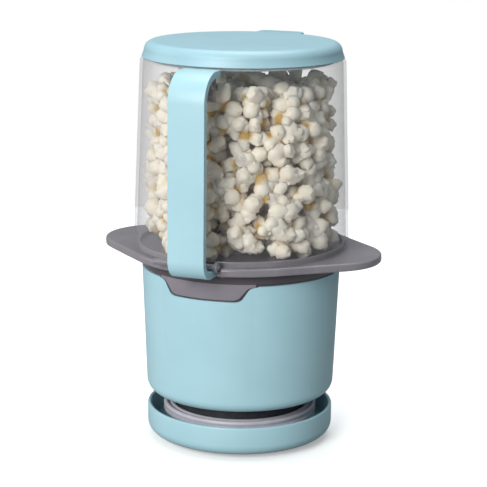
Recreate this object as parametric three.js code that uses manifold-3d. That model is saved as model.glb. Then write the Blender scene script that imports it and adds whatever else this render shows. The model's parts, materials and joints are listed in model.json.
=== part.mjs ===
// A personal hot-air popcorn maker: a motor base in a shallow cord pan, an eared tray with a spout,
// a clear serving container with a strap handle hooked on the tray's front pin, and a lift-off lid.
// Frame: millimetres, +Z up, the rubber pad stands on z = 0, the handle points to -Y, the ears along X.
import * as THREE from "three";
import { mergeVertices } from "three/addons/utils/BufferGeometryUtils.js";
import Module from "manifold-3d";

const wasm = await Module();
wasm.setup();

// ---------- driving dimensions ----------
const gap = 0.3; // clearance between pieces that touch
const wall = 2.5; // moulded wall of the base and the pan
const roundSteps = 40; // facets round a large turned piece
const smallSteps = 14; // facets round a small turned piece

const padThickness = 2.7;
const padInset = 15.5; // from the pan's outside to the pad's edge
const panHeight = 20.8; // from the pan's underside to its rim
const panRadius = 65.5;
const panEdge = 8; // rounding of the pan's bottom edge
const cordGap = 10; // open height between the pan's rim and the base shell
const shellHeight = 90;
const shellBottomRadius = 66;
const shellTopRadius = 69.3;
const shellEdge = 8; // rounding of the shell's bottom edge
const collarHeight = 7;
const badgeDrop = 9.5; // how far the badge hangs down into the shell's front
const badgeTopHalf = 30.5;
const badgeBottomHalf = 23.5;
const badgeSeam = 1.3; // open line round the badge

const trayMargin = 3.7; // from the container's foot to the tray's front and back edge
const earRound = 38; // radius of an ear's tip
const earLength = 22; // how far an ear's tip stands out beyond the tray's round
const trayThickness = 3;
const trayRimDrop = 5.5; // height of the turned-down rim
const spoutRise = 11; // how far the spout stands above the tray

const containerBottomRadius = 75.3;
const containerTopRadius = 70.7;
const containerHeight = 130.5;
const containerWall = 2;
const shoulderWidth = 6.2; // flat rim round the opening that the lid plugs

const lidInset = 1.2; // from the container's outside to the lid's edge
const lidHeight = 11;
const lidWall = 2.5;
const lidPlugDepth = 2.6; // the plug is just deeper than the container's lip
const tabWidth = 34;
const tabLength = 10.5; // from the lid's edge to the tab's outer edge

const handleWidth = 25.5;
const handleThickness = 4.5;
const strapOffset = 18.3; // from the hinge pin's axis to the strap's outer face
const handleBend = 20; // outer radius of the top bend
const coreThickness = 2; // clear core inside the strap
const coreWidth = 20;
const gussetDrop = 16; // height of the core's gusset on the container's wall
const hookPlay = 0.6; // between the hinge pin and the hook of the handle's foot
const pinOffset = 4.9; // from the container's foot to the hinge pin's axis
const pinRadius = 1.9;
const lugThickness = 2.6; // the tray's two lugs that hold the hinge pin

const chamberRadius = 30;
const chamberWall = 1;
const chamberSlots = 12;
const ductSpace = 4; // from the chamber's outside to the duct's
const ductWall = 1.5;
const fanSpace = 5.5; // from the duct's inside to the blades' tips
const fanBlades = 7;
const shaftRadius = 1.15;
const motorRadius = 12;
const motorHeight = 17;

const grooveWidth = 17; // from the spool's wall to the pan's wall
const cordWidth = 7.6; // flat twin cord, on edge in the winding
const cordThickness = 3.9;
const cordTurns = 2;

// ---------- levels and places that follow from them ----------
const panBottom = padThickness + gap;
const panRim = panBottom + panHeight;
const shellBottom = panRim + cordGap;
const shellTop = shellBottom + shellHeight;
const collarBottom = shellTop + gap;
const collarTop = collarBottom + collarHeight;
const trayTop = collarTop + gap + trayThickness + 3.7;
const trayUnder = trayTop - trayThickness;
const containerBottom = trayTop + gap;
const containerTop = containerBottom + containerHeight;
const lidBottom = containerTop + gap;
const lidTop = lidBottom + lidHeight;
const plateRise = 3.5; // from the shell's lower edge to the base plate
const plateBottom = shellBottom + plateRise;
const plateThickness = 2;
const plateTop = plateBottom + plateThickness;
const shellInnerBottom = shellBottomRadius - wall;
const deckThickness = 2.5;
const deckBottom = collarTop - 1.5 - deckThickness;
const deckInner = chamberRadius + 3;
const ductRadius = chamberRadius + ductSpace;
const fanRadius = ductRadius - ductWall - fanSpace;
const spoutRadius = chamberRadius + ductSpace;
const padRadius = panRadius - padInset;
const spoolRadius = panRadius - wall - grooveWidth;
const trayRound = containerBottomRadius + trayMargin;
const earReach = trayRound + earLength;
const mouthRadius = containerTopRadius - shoulderWidth;
const lidRadius = containerTopRadius - lidInset;
const tabReach = lidRadius + tabLength;
const pinReach = containerBottomRadius + pinOffset;
const handleReach = pinReach + strapOffset;
const pinZ = trayTop + 1.6;
const footDrop = pinRadius + hookPlay + handleThickness; // from the pin's axis to the foot's underside
const pinY = -pinReach;

// ---------- helpers ----------
const clean = (geometry) => {
  const bare = geometry.clone();
  bare.deleteAttribute("normal");
  bare.deleteAttribute("uv");
  return mergeVertices(bare, 1e-4);
};

const solid = (geometry) => {
  const merged = clean(geometry);
  return new wasm.Manifold(
    new wasm.Mesh({
      numProp: 3,
      vertProperties: merged.attributes.position.array,
      triVerts: new Uint32Array(merged.index.array),
    }),
  );
};

const fromSolid = (body) => {
  const mesh = body.getMesh();
  const geometry = new THREE.BufferGeometry();
  geometry.setAttribute("position", new THREE.BufferAttribute(mesh.vertProperties, 3));
  geometry.setIndex(new THREE.BufferAttribute(mesh.triVerts, 1));
  geometry.computeVertexNormals();
  return geometry;
};

// Points on an arc in a profile, from one angle to another in degrees.
const arc = (centreX, centreY, radius, from, to, steps = 3) => {
  const points = [];
  for (let i = 0; i <= steps; i += 1) {
    const angle = THREE.MathUtils.degToRad(from + ((to - from) * i) / steps);
    points.push([centreX + radius * Math.cos(angle), centreY + radius * Math.sin(angle)]);
  }
  return points;
};

// A closed ring or pot turned about Z: the profile's points are [radius, z].
const turned = (profile, steps = roundSteps) => {
  let area = 0;
  profile.forEach(([r, z], i) => {
    const [nextR, nextZ] = profile[(i + 1) % profile.length];
    area += r * nextZ - nextR * z;
  });
  const ordered = area > 0 ? profile : [...profile].reverse();
  const points = [...ordered, ordered[0]].map(([r, z]) => new THREE.Vector2(r, z));
  return new THREE.LatheGeometry(points, steps).rotateX(Math.PI / 2);
};

const disc = (radius, bottom, top, steps = roundSteps) =>
  turned([[0, bottom], [radius, bottom], [radius, top], [0, top]], steps);

const ring = (inner, outer, bottom, top, steps = roundSteps) =>
  turned([[inner, bottom], [outer, bottom], [outer, top], [inner, top]], steps);

const outline = (points) => new THREE.Shape(points.map(([u, v]) => new THREE.Vector2(u, v)));

const flat = (shape, depth, steps = 8) =>
  new THREE.ExtrudeGeometry(shape, { depth, bevelEnabled: false, curveSegments: steps });

// A shape drawn in the Y-Z plane, extruded along X about the middle plane.
const acrossX = (shape, width) => {
  const basis = new THREE.Matrix4().makeBasis(
    new THREE.Vector3(0, 1, 0),
    new THREE.Vector3(0, 0, 1),
    new THREE.Vector3(1, 0, 0),
  );
  return flat(shape, width).translate(0, 0, -width / 2).applyMatrix4(basis);
};

// A shape drawn in the X-Z plane, extruded forwards from y = 0 to y = -depth.
const forwards = (shape, depth) => {
  const basis = new THREE.Matrix4().makeBasis(
    new THREE.Vector3(1, 0, 0),
    new THREE.Vector3(0, 0, 1),
    new THREE.Vector3(0, -1, 0),
  );
  return flat(shape, depth).applyMatrix4(basis);
};

const box = (sizeX, sizeY, sizeZ, x, y, z) =>
  new THREE.BoxGeometry(sizeX, sizeY, sizeZ).translate(x, y, z);

const rodAlongX = (radius, length, y, z, steps = smallSteps) =>
  new THREE.CylinderGeometry(radius, radius, length, steps).rotateZ(Math.PI / 2).translate(0, y, z);

const rodAlongY = (radius, length, x, y, z, steps = smallSteps) =>
  new THREE.CylinderGeometry(radius, radius, length, steps).translate(x, y, z);

const aroundZ = (geometry, degrees) => geometry.clone().rotateZ(THREE.MathUtils.degToRad(degrees));

const cut = (body, ...tools) => tools.reduce((left, tool) => left.subtract(solid(tool)), body);

const join = (body, ...others) => others.reduce((whole, other) => whole.add(solid(other)), body);

const finish = (color, roughness, metalness = 0, opacity = 1) => () =>
  new THREE.MeshStandardMaterial({
    color,
    roughness,
    metalness,
    opacity,
    transparent: opacity < 1,
  });

const aqua = finish(0xa5d3da, 0.5);
const smokyGrey = finish(0x8b8389, 0.25, 0, 0.9);
const clearPlastic = finish(0xeef4f5, 0.08, 0, 0.3);
const darkPlastic = finish(0x2b2d31, 0.6);
const aluminium = finish(0xc3c6ca, 0.35, 1);
const steel = finish(0xa8abb0, 0.3, 1);
const bronze = finish(0xa9773f, 0.4, 1);
const mica = finish(0xb9a88a, 0.7);
const nichrome = finish(0x6f6a66, 0.45, 1);
const rubber = finish(0x2c2c2e, 0.85);
const silicone = finish(0xd9dee0, 0.6);
const boardGreen = finish(0x2f6b4a, 0.6);
const greyCord = finish(0xb6b5c0, 0.5);

const popper = new THREE.Group();

const add = (name, geometry, material) => {
  const mesh = new THREE.Mesh(geometry, material());
  mesh.name = name;
  popper.add(mesh);
};

// ---------- pan, pad and cord spool ----------
const panInner = panRadius - wall;
const panFloor = panBottom + wall;
add("foot_pad", disc(padRadius, 0, padThickness), rubber);

const screwRing = spoolRadius - 9; // circle that the spool's and the pan's screws stand on
const screwAngles = [30, 150, 270];
const screwShaft = 1.6;
const screwHead = 3.2;
const screwHeadHeight = 1.8;
const screwHole = screwShaft + gap;
const headHole = screwHead + gap;

const panProfile = [
  [0, panBottom],
  ...arc(panRadius - panEdge, panBottom + panEdge, panEdge, 270, 360),
  ...arc(panRadius - wall / 2, panRim - wall / 2, wall / 2, 0, 180, 2),
  ...arc(panInner - panEdge + wall, panFloor + panEdge - wall, panEdge - wall, 360, 270),
  [0, panFloor],
];
const upright = (radius, bottom, top, angle) =>
  aroundZ(disc(radius, bottom, top, smallSteps).translate(screwRing, 0, 0), angle);

let pan = solid(turned(panProfile));
screwAngles.forEach((angle) => {
  pan = cut(
    pan,
    upright(headHole, panBottom - 1, panBottom + screwHeadHeight - gap, angle),
    upright(screwHole, panBottom, panFloor + 1, angle),
  );
});
add("cord_pan", fromSolid(pan), aqua);

const spoolBottom = panFloor + gap;
const spoolTop = plateBottom - gap;
const spoolWall = 2.5;
const spoolProfile = [
  [spoolRadius - 14, spoolBottom],
  [spoolRadius + 2, spoolBottom],
  [spoolRadius + 2, spoolBottom + spoolWall],
  [spoolRadius, spoolBottom + spoolWall],
  [spoolRadius, spoolTop],
  [spoolRadius - 14, spoolTop],
  [spoolRadius - 14, spoolTop - spoolWall],
  [spoolRadius - spoolWall, spoolTop - spoolWall],
  [spoolRadius - spoolWall, spoolBottom + spoolWall],
  [spoolRadius - 14, spoolBottom + spoolWall],
];
const cordMiddle = panRim - 3; // height of the winding's middle
const cordExitAngle = 52; // where the cord comes out through the spool's wall
let spool = solid(turned(spoolProfile));
screwAngles.forEach((angle) => {
  spool = cut(
    spool,
    upright(screwHole, spoolBottom - 1, spoolBottom + spoolWall + 1, angle),
    upright(screwHole, spoolTop - spoolWall - 1, spoolTop + 1, angle),
  );
});
const glandWidth = 12;
const glandHeight = cordWidth + 2;
const glandOuter = spoolRadius - 0.6; // its corners stay inside the winding
spool = cut(
  spool,
  aroundZ(
    box(spoolWall + 2, glandWidth + 2 * gap, glandHeight + 2 * gap, spoolRadius - spoolWall / 2, 0, cordMiddle),
    cordExitAngle,
  ),
);
add("cord_spool", fromSolid(spool), darkPlastic);

const glandLength = 9;
add(
  "strain_relief",
  aroundZ(
    box(glandLength, glandWidth, glandHeight, glandOuter - glandLength / 2, 0, cordMiddle),
    cordExitAngle,
  ),
  rubber,
);

screwAngles.forEach((angle, i) => {
  const body = join(
    solid(disc(screwHead, panBottom + gap, panBottom + screwHeadHeight - 2 * gap, smallSteps)),
    disc(screwShaft, panBottom + gap, spoolBottom + spoolWall + 4, smallSteps),
  );
  add(
    `pan_screw_${i + 1}`,
    aroundZ(fromSolid(body).translate(screwRing, 0, 0), angle),
    steel,
  );
});

// ---------- cord: winding, tail and plug ----------
const windingInner = spoolRadius + gap;
const windingOuter = windingInner + 2 * gap + cordTurns * cordThickness;
add(
  "cord_winding",
  ring(windingInner, windingOuter, cordMiddle - cordWidth / 2, cordMiddle + cordWidth / 2),
  greyCord,
);

// The tail leaves the winding along its tangent, passes over the pan's rim and lies down behind it.
const tailRoute = [
  [16.1, 54.9, 27],
  [10.7, 59.4, 28.2],
  [4.6, 64.6, 28.8],
  [-1.6, 69.7, 28.2],
  [-6.9, 74.2, 26.2],
  [-12.3, 78.7, 22.6],
  [-17.6, 83.2, 17.6],
  [-23, 87.7, 12.2],
  [-28.3, 92.6, 7.6],
  [-32.9, 97.9, 4.6],
  [-36.8, 104.2, 3],
  [-39.6, 111, 2.3],
  [-41.3, 117, 2.2],
];
const tailCurve = new THREE.CatmullRomCurve3(tailRoute.map((p) => new THREE.Vector3(...p)));
const tailSection = outline(arc(0, 0, cordThickness / 2, 0, 315, 7));
add(
  "cord_tail",
  new THREE.ExtrudeGeometry(tailSection, { steps: 16, extrudePath: tailCurve, bevelEnabled: false }),
  greyCord,
);

const plugLength = 34;
const plugWidth = 20;
const plugHeight = 14;
const bladeLength = 16;
const bladeWidth = 6.4;
const bladeThickness = 1.5;
const bladeSpacing = 12.7;
const plugTurn = 18; // degrees that the plug is turned to the left of straight back
const plugStart = new THREE.Vector3(-41, 117.5, 0);
const placePlug = (geometry) =>
  geometry
    .rotateZ(THREE.MathUtils.degToRad(plugTurn))
    .translate(plugStart.x, plugStart.y, plugStart.z);
const plugShape = outline([
  [-3.5, 0],
  [3.5, 0],
  [5, 12],
  [plugWidth / 2, 20],
  [plugWidth / 2, plugLength],
  [-plugWidth / 2, plugLength],
  [-plugWidth / 2, 20],
  [-5, 12],
]);
add("plug_body", placePlug(flat(plugShape, plugHeight - gap).translate(0, 0, gap)), greyCord);
[-1, 1].forEach((side) => {
  const blade = box(
    bladeThickness,
    bladeLength,
    bladeWidth,
    (side * bladeSpacing) / 2,
    plugLength + gap + bladeLength / 2,
    plugHeight / 2,
  );
  add(side < 0 ? "plug_blade_left" : "plug_blade_right", placePlug(blade), bronze);
});

// ---------- base shell and top collar ----------
const shellProfile = [
  [shellBottomRadius - shellEdge, shellBottom],
  ...arc(shellBottomRadius - shellEdge, shellBottom + shellEdge, shellEdge, 270, 360).slice(1),
  [shellTopRadius, shellTop],
  [shellTopRadius - wall, shellTop],
  ...arc(shellInnerBottom - shellEdge + wall, shellBottom + shellEdge, shellEdge - wall, 360, 270),
];
const badgeOutline = (margin) =>
  outline([
    [-badgeTopHalf - margin, shellTop + 2],
    [-badgeTopHalf - margin, shellTop],
    ...[
      [-badgeBottomHalf - margin - 2, shellTop - badgeDrop - margin + 2.5],
      [-badgeBottomHalf - margin + 1, shellTop - badgeDrop - margin],
      [badgeBottomHalf + margin - 1, shellTop - badgeDrop - margin],
      [badgeBottomHalf + margin + 2, shellTop - badgeDrop - margin + 2.5],
    ],
    [badgeTopHalf + margin, shellTop],
    [badgeTopHalf + margin, shellTop + 2],
  ]);
const shell = cut(solid(turned(shellProfile)), forwards(badgeOutline(badgeSeam), shellTopRadius + 5));
add("base_shell", fromSolid(shell), aqua);

const collarOuter = shellTopRadius + 0.2;
const collarProfile = [
  [deckInner, deckBottom],
  [collarOuter - wall, deckBottom],
  [collarOuter - wall, collarBottom],
  [collarOuter, collarBottom],
  ...arc(collarOuter - 1, collarTop - 1, 1, 0, 90, 3),
  [collarOuter - wall, collarTop],
  [collarOuter - wall, deckBottom + deckThickness],
  [deckInner, deckBottom + deckThickness],
];
const badgeBand = solid(
  turned([
    [shellTopRadius - wall, shellTop - badgeDrop - 2],
    [shellTopRadius - 0.2, shellTop - badgeDrop - 2],
    [collarOuter - 0.2, collarBottom + 1],
    [shellTopRadius - wall, collarBottom + 1],
  ]),
);
const badge = badgeBand.intersect(solid(forwards(badgeOutline(0), shellTopRadius + 5)));
add("top_collar", fromSolid(solid(turned(collarProfile)).add(badge)), smokyGrey);

// ---------- base plate ----------
const innerEdge = shellEdge - wall; // rounding of the shell's inner face, which the plate rests on
const plateRadius =
  shellBottomRadius - shellEdge + Math.sqrt(innerEdge ** 2 - (shellEdge - plateRise) ** 2) - gap;
const intakeSlots = 24;
const intakeInner = spoolRadius + 3.5;
const intakeOuter = intakeInner + 8;
const postAngles = [90, 210, 330];
const postRing = ductRadius - 1;
const postRadius = 3;
const motorTop = plateTop + gap + 1 + motorHeight;
let plate = solid(disc(plateRadius, plateBottom, plateTop));
for (let i = 0; i < intakeSlots; i += 1) {
  const slot = box(
    intakeOuter - intakeInner,
    4,
    plateThickness + 2,
    (intakeInner + intakeOuter) / 2,
    0,
    plateBottom + plateThickness / 2,
  );
  plate = cut(plate, aroundZ(slot, (360 * (i + 0.5)) / intakeSlots));
}
screwAngles.forEach((angle) => {
  plate = cut(plate, upright(screwHole, plateBottom - 1, plateTop + 1, angle));
});
postAngles.forEach((angle) => {
  const post = disc(postRadius, plateTop - 0.5, motorTop, smallSteps).translate(postRing, 0, 0);
  plate = join(plate, aroundZ(post, angle));
});
add("base_plate", fromSolid(plate), darkPlastic);

screwAngles.forEach((angle, i) => {
  const body = join(
    solid(disc(screwHead, plateTop + gap, plateTop + gap + screwHeadHeight, smallSteps)),
    disc(screwShaft, spoolTop - spoolWall - 3, plateTop + gap + 0.5, smallSteps),
  );
  add(
    `spool_screw_${i + 1}`,
    aroundZ(fromSolid(body).translate(screwRing, 0, 0), angle),
    steel,
  );
});

// ---------- motor, bracket and fan ----------
const motorBottom = plateTop + gap + 1;
const bossRadius = 4;
const bossHeight = 2.4;
const boreRadius = shaftRadius + gap;
const bushRadius = 3;
const bushHeight = 3;
const endCapHeight = 3;
add(
  "motor_end_cap",
  disc(motorRadius - 0.5, motorBottom, motorBottom + endCapHeight, 32),
  darkPlastic,
);
add(
  "motor_can",
  turned(
    [
      [0, motorBottom + endCapHeight + gap],
      [motorRadius, motorBottom + endCapHeight + gap],
      [motorRadius, motorTop],
      [bossRadius, motorTop],
      [bossRadius, motorTop + bossHeight],
      [bushRadius + gap, motorTop + bossHeight],
      [bushRadius + gap, motorTop + bossHeight - bushHeight - gap],
      [boreRadius, motorTop + bossHeight - bushHeight - gap],
      [boreRadius, motorBottom + endCapHeight + 4],
      [0, motorBottom + endCapHeight + 4],
    ],
    32,
  ),
  steel,
);
add(
  "shaft_bush",
  ring(boreRadius, bushRadius, motorTop + bossHeight - bushHeight, motorTop + bossHeight, smallSteps),
  bronze,
);

const bracketBottom = motorTop + gap;
const bracketTop = bracketBottom + 1.5;
const bracketRadius = ductRadius + 2.5;
const ventInner = motorRadius + 2;
const ventOuter = postRing - postRadius - 1;
let bracket = solid(ring(bossRadius + gap, bracketRadius, bracketBottom, bracketTop));
postAngles.forEach((angle) => {
  const vent = flat(
    outline([...arc(0, 0, ventInner, 18, 102, 8), ...arc(0, 0, ventOuter, 102, 18, 8)]),
    4,
  ).translate(0, 0, bracketBottom - 1);
  bracket = cut(bracket, aroundZ(vent, angle));
});
add("motor_bracket", fromSolid(bracket), steel);

const fanBottom = bracketTop + 2.5;
const fanHeight = 7;
const hubRadius = 6;
const fanTop = fanBottom + fanHeight;
let fan = solid(ring(shaftRadius + gap, hubRadius, fanBottom, fanTop, 28));
for (let i = 0; i < fanBlades; i += 1) {
  const bladeSpan = fanRadius - hubRadius + 1;
  const blade = box(bladeSpan, 8.5, 1.4, 0, 0, 0)
    .rotateX(THREE.MathUtils.degToRad(36))
    .translate(hubRadius - 1 + bladeSpan / 2, 0, fanBottom + fanHeight / 2);
  fan = join(fan, aroundZ(blade, (360 * i) / fanBlades));
}
add("fan_impeller", fromSolid(fan), darkPlastic);
add(
  "motor_shaft",
  disc(shaftRadius, motorBottom + endCapHeight + 4 + gap, fanTop + 1, smallSteps),
  steel,
);

// ---------- heater ----------
const heaterBottom = fanTop + 2.5;
const coilTurns = 4;
const coilPitch = 2.8;
const coilRadius = 21;
const wireRadius = 0.9;
const boardHalf = coilRadius - wireRadius - gap;
const heaterHeight = coilTurns * coilPitch + 1;
const boardThickness = 1;
const crossBoard = (fromTop) => {
  const slotHeight = heaterHeight / 2 + gap;
  const slotMiddle = heaterBottom + (fromTop ? heaterHeight - slotHeight / 2 : slotHeight / 2);
  return cut(
    solid(box(2 * boardHalf, boardThickness, heaterHeight, 0, 0, heaterBottom + heaterHeight / 2)),
    box(boardThickness + 2 * gap, 4, slotHeight + 0.01, 0, 0, slotMiddle + (fromTop ? 0.01 : -0.01)),
  );
};
add("mica_board_across", fromSolid(crossBoard(true)), mica);
add("mica_board_along", aroundZ(fromSolid(crossBoard(false)), 90), mica);

class HeaterHelix extends THREE.Curve {
  getPoint(t, target = new THREE.Vector3()) {
    const angle = 2 * Math.PI * coilTurns * t;
    return target.set(
      coilRadius * Math.cos(angle),
      coilRadius * Math.sin(angle),
      heaterBottom + 0.5 + coilPitch * coilTurns * t,
    );
  }
}
add(
  "heater_coil",
  new THREE.ExtrudeGeometry(outline(arc(0, 0, wireRadius, 0, 300, 5)), {
    steps: coilTurns * 16,
    extrudePath: new HeaterHelix(),
    bevelEnabled: false,
  }),
  nichrome,
);

// ---------- air duct, chamber and gasket ----------
const chamberBottom = heaterBottom + heaterHeight + 2.5;
const ductBottom = bracketTop + gap;
const ductTop = chamberBottom + 14;
add(
  "air_duct",
  turned([
    [ductRadius - ductWall, ductBottom],
    [bracketRadius, ductBottom],
    [bracketRadius, ductBottom + ductWall],
    [ductRadius, ductBottom + ductWall],
    [ductRadius, ductTop],
    [chamberRadius + gap, ductTop],
    [chamberRadius + gap, ductTop - ductWall],
    [ductRadius - ductWall, ductTop - ductWall],
  ]),
  aluminium,
);

const flangeRadius = deckInner + 3;
const gasketBottom = deckBottom - gap - 1.5;
const flangeTop = gasketBottom - gap;
let chamber = solid(
  turned([
    [0, chamberBottom + 2],
    [chamberRadius - 8, chamberBottom],
    [chamberRadius - 2, chamberBottom],
    [chamberRadius, chamberBottom + 2],
    [chamberRadius, flangeTop - chamberWall],
    [flangeRadius, flangeTop - chamberWall],
    [flangeRadius, flangeTop],
    [chamberRadius - chamberWall, flangeTop],
    [chamberRadius - chamberWall, chamberBottom + 2.5],
    [chamberRadius - 2.5, chamberBottom + chamberWall],
    [chamberRadius - 8, chamberBottom + chamberWall],
    [0, chamberBottom + 2 + chamberWall],
  ]),
);
for (let i = 0; i < chamberSlots; i += 1) {
  const slot = box(8, 1.6, 6, 0, 0, 0)
    .rotateX(THREE.MathUtils.degToRad(30))
    .translate(chamberRadius, 0, chamberBottom + 7);
  chamber = cut(chamber, aroundZ(slot, (360 * i) / chamberSlots));
}
add("popping_chamber", fromSolid(chamber), aluminium);
add("chamber_gasket", ring(deckInner + 0.5, flangeRadius, gasketBottom, deckBottom - gap), silicone);

// ---------- thermostat, thermal fuse, rectifier board ----------
const onDuct = ductRadius + gap;
const controlsZ = heaterBottom + heaterHeight / 2;
const thermostat = join(
  solid(new THREE.CylinderGeometry(8, 8, 5, 28).rotateZ(Math.PI / 2).translate(onDuct + 2.5, 0, controlsZ)),
  new THREE.CylinderGeometry(5.5, 5.5, 4, 28).rotateZ(Math.PI / 2).translate(onDuct + 6.5, 0, controlsZ),
  box(5, 4, 0.8, onDuct + 10.5, 4, controlsZ),
  box(5, 4, 0.8, onDuct + 10.5, -4, controlsZ),
);
add("thermostat", fromSolid(thermostat), steel);
const fuse = join(
  solid(disc(2, controlsZ - 6, controlsZ + 6, smallSteps)),
  disc(0.5, controlsZ - 12, controlsZ + 12, 8),
);
add("thermal_fuse", fromSolid(fuse).translate(-onDuct - 2, 0, 0), silicone);

const boardY = ductRadius + 7;
let rectifier = solid(box(30, 1.6, 20, 0, boardY, controlsZ));
[-1, 1].forEach((sideX) => {
  [-1, 1].forEach((sideZ) => {
    rectifier = join(rectifier, box(6, 3.2, 3, sideX * 7, boardY + 2, controlsZ + sideZ * 5));
  });
});
add("rectifier_board", fromSolid(rectifier), boardGreen);
let terminals = solid(box(16, 8, 7, 0, -boardY - 2, controlsZ));
[-1, 0, 1].forEach((place) => {
  terminals = cut(terminals, rodAlongY(1.5, 20, place * 5, -boardY - 2, controlsZ, 12));
});
add("terminal_block", fromSolid(terminals), darkPlastic);

// ---------- tray with its spout and hinge tongue ----------
// The tray's outline is the front and back arcs and the two ear tips, joined by straight edges.
const trayShape = (inset) => {
  const round = trayRound - inset;
  const tip = earRound - inset;
  const tipCentre = earReach - earRound;
  const edge = THREE.MathUtils.radToDeg(Math.acos((round - tip) / tipCentre));
  return outline([
    ...arc(tipCentre, 0, tip, -edge, edge, 8),
    ...arc(0, 0, round, edge, 180 - edge, 10),
    ...arc(-tipCentre, 0, tip, 180 - edge, 180 + edge, 8),
    ...arc(0, 0, round, 180 + edge, 360 - edge, 10),
  ]);
};
const rimBottom = trayTop - trayRimDrop;
const rimWall = 2.4;
const seatOuter = containerBottomRadius - containerWall - 0.8;
const skirtBottom = deckBottom + deckThickness + gap;
const skirtOuter = collarOuter - wall - gap;
const footGap = handleWidth / 2 + 0.6;
const footSwing = footDrop + 1.3; // radius about the pin that the handle's foot needs
const notchBackY = pinY + footSwing;
let tray = solid(flat(trayShape(0.8), trayTop - rimBottom).translate(0, 0, rimBottom));
tray = tray.add(solid(flat(trayShape(0), trayTop - rimBottom - 1.6).translate(0, 0, rimBottom + 0.8)));
tray = tray.subtract(
  solid(flat(trayShape(rimWall), trayUnder - rimBottom + 1).translate(0, 0, rimBottom - 1)),
);
tray = join(tray, ring(seatOuter - 2, seatOuter, trayTop - 1, trayTop + 3.5));
tray = join(tray, ring(skirtOuter - 2, skirtOuter, skirtBottom, trayUnder + 1));
tray = cut(tray, disc(spoutRadius - 1, trayUnder - 1, trayTop + 1));
tray = join(tray, ring(spoutRadius - 2, spoutRadius, skirtBottom, trayTop + spoutRise));
tray = cut(
  tray,
  rodAlongX(footSwing, 2 * footGap, pinY, pinZ, 24),
  box(2 * footGap, 30, trayTop - rimBottom + 2, 0, notchBackY - 15, (trayTop + rimBottom) / 2),
);
// Two lugs on the tray's rim hold the hinge pin, one on each side of the handle's foot.
const lugRadius = pinRadius + 1.7;
const lugRootY = -containerBottomRadius + 3.3;
const lugShape = outline([
  [lugRootY, rimBottom + 0.6],
  [lugRootY, trayTop],
  [pinY + 3.9, trayTop],
  [pinY, pinZ],
  [pinY - 0.43 * lugRadius, pinZ - 0.87 * lugRadius],
]);
const lugMiddle = footGap + lugThickness / 2;
[-1, 1].forEach((side) => {
  const arm = acrossX(lugShape, lugThickness).translate(side * lugMiddle, 0, 0);
  const eye = rodAlongX(lugRadius, lugThickness, pinY, pinZ, 20).translate(side * lugMiddle, 0, 0);
  tray = join(tray, arm, eye);
});
const pinLength = 2 * (footGap + lugThickness + gap);
tray = cut(tray, rodAlongX(pinRadius + gap, 2 * pinLength, pinY, pinZ, 20));
add("tray", fromSolid(tray), smokyGrey);
add("hinge_pin", rodAlongX(pinRadius, pinLength, pinY, pinZ, 20), steel);

// ---------- container ----------
const shoulder = 2.5;
const neckZ = containerTop - containerWall;
const containerProfile = [
  [containerBottomRadius - containerWall, containerBottom],
  [containerBottomRadius, containerBottom],
  ...arc(containerTopRadius - shoulder, containerTop - shoulder, shoulder, 0, 90, 4),
  [mouthRadius, containerTop],
  [mouthRadius, neckZ],
  ...arc(
    containerTopRadius - shoulder,
    containerTop - shoulder,
    shoulder - containerWall,
    90,
    0,
    2,
  ),
];
const handleScrewHalf = 6;
const handleScrewZ = containerTop - handleThickness - 8;
let container = solid(turned(containerProfile));
[-1, 1].forEach((side) => {
  const hole = rodAlongY(screwHole, 12, side * handleScrewHalf, -containerTopRadius, handleScrewZ);
  container = cut(container, hole);
});
add("container", fromSolid(container), clearPlastic);

// ---------- handle ----------
// The aqua strap rises from its hooked foot round the hinge pin and bends in under the lid.
const strapOuterY = -handleReach;
const strapInnerY = strapOuterY + handleThickness;
const armTop = containerTop - 0.4;
const armBottom = armTop - handleThickness;
const bendY = strapOuterY + handleBend;
const bendZ = armTop - handleBend;
const armEndY = -containerTopRadius;
const footRound = 13; // outer radius of the bend into the foot
const footBottom = pinZ - footDrop;
const footTop = footBottom + handleThickness;
const bendInner = footRound - handleThickness;
const lipFrontY = pinY + pinRadius + hookPlay;
const lipBackY = lipFrontY + 2.3;
const lipTop = containerBottom - hookPlay;
const lipRound = 2.2;
const handleShape = outline([
  ...arc(lipBackY - lipRound, footBottom + lipRound, lipRound, 270, 360, 4),
  [lipBackY, lipTop],
  [lipFrontY, lipTop],
  [lipFrontY, footTop + 0.6],
  [lipFrontY - 0.6, footTop],
  ...arc(strapOuterY + footRound, footBottom + footRound, bendInner, 270, 180, 6),
  ...arc(bendY, bendZ, handleBend - handleThickness, 180, 90, 8),
  [armEndY, armBottom],
  [armEndY, armTop],
  ...arc(bendY, bendZ, handleBend, 90, 180, 8),
  ...arc(strapOuterY + footRound, footBottom + footRound, footRound, 180, 270, 8),
]);
const wallClearance = 0.6;
const aroundContainer = turned([
  [0, containerBottom],
  [containerBottomRadius + wallClearance, containerBottom],
  [containerTopRadius + wallClearance, containerTop - shoulder],
  [containerTopRadius + wallClearance, lidTop],
  [0, lidTop],
]);
const handle = cut(solid(acrossX(handleShape, handleWidth)), aroundContainer);
add("handle", fromSolid(handle), aqua);

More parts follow.
